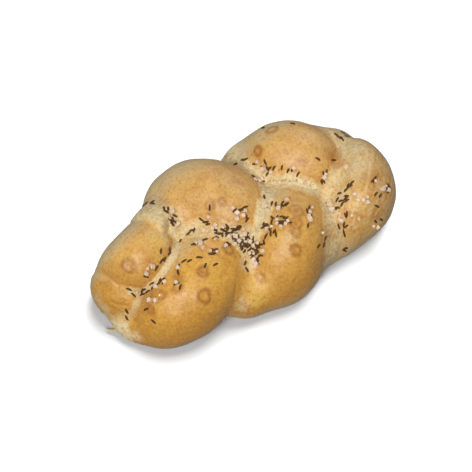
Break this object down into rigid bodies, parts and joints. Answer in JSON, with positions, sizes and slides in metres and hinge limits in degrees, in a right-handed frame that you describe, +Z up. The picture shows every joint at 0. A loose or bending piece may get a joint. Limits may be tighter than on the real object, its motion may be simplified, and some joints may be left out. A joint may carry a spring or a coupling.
{
  "type": "braided milk bun",
  "caption": "Braided milk bun: three ropes of soft dough plaited into a short golden loaf, with caraway seeds and coarse salt in the seams.",
  "frame": {"origin": "middle of the loaf's box, on the surface it rests on", "axes": "+X along the loaf to the end with the small last fold, +Y across it to the back, +Z up"},
  "size_m": [0.1822, 0.1024, 0.0505],
  "materials": {
    "crust": "golden baked crust with a soft egg-wash sheen, paler in the seams"
  },
  "bodies": {
    "root": {"bun": "crust"}
  },
  "joints": []
}
